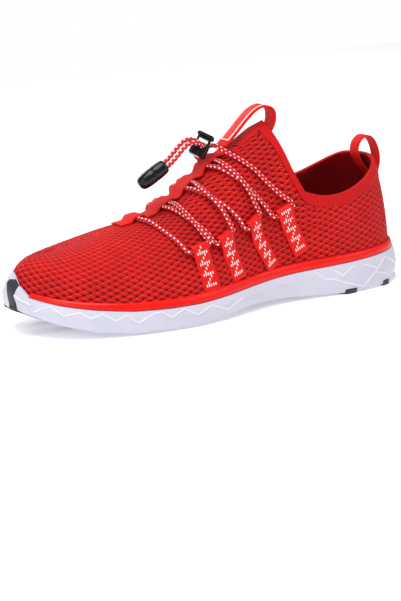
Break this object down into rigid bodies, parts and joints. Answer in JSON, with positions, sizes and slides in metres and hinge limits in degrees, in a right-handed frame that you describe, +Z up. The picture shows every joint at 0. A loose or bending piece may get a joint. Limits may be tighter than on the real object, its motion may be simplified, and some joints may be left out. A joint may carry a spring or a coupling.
{
  "type": "water shoe",
  "caption": "Knitted slip-on water shoe for the left foot, on a faceted foam sole with rubber treads, an elastic lace and a cord lock.",
  "frame": {"origin": "middle of the shoe's box in plan, on the floor", "axes": "+X from the heel to the toe, +Y towards the outer side of the left foot, +Z up"},
  "size_m": [0.2922, 0.1102, 0.1302],
  "materials": {
    "foam": "soft moulded foam, white with a faint lavender grey",
    "knit": "red polyester knit with a honeycomb of small holes",
    "insole": "dark grey textile over thin foam",
    "rand": "glossy red rubber foxing",
    "tread": "black rubber, satin",
    "webbing": "red woven tape with a fine cross rib",
    "lace": "red braided elastic with white flecks",
    "plastic": "black moulded plastic, glossy"
  },
  "bodies": {
    "shoe": {"midsole": "foam", "upper": "knit", "insole": "insole", "rand": "rand", "toe_tread": "tread", "heel_tread": "tread", "strap_outer_1": "webbing", "strap_outer_2": "webbing", "strap_outer_3": "webbing", "strap_outer_4": "webbing", "strap_inner_1": "webbing", "strap_inner_2": "webbing", "strap_inner_3": "webbing", "strap_inner_4": "webbing", "instep_webbing": "webbing", "tongue_loop": "webbing", "heel_loop": "webbing", "lace": "lace", "cord_strand_a": "lace", "cord_strand_b": "lace", "lock_body": "plastic", "cord_end": "plastic"},
    "lock_button": {"lock_button": "plastic"}
  },
  "joints": [
    {"name": "lock_button_press", "type": "slide", "parent": "shoe", "child": "lock_button", "axis": [0.5592, 0, -0.829], "range_m": [0, 0.003], "stiffness_N_per_m": 1500, "springref_m": -0.002}
  ]
}
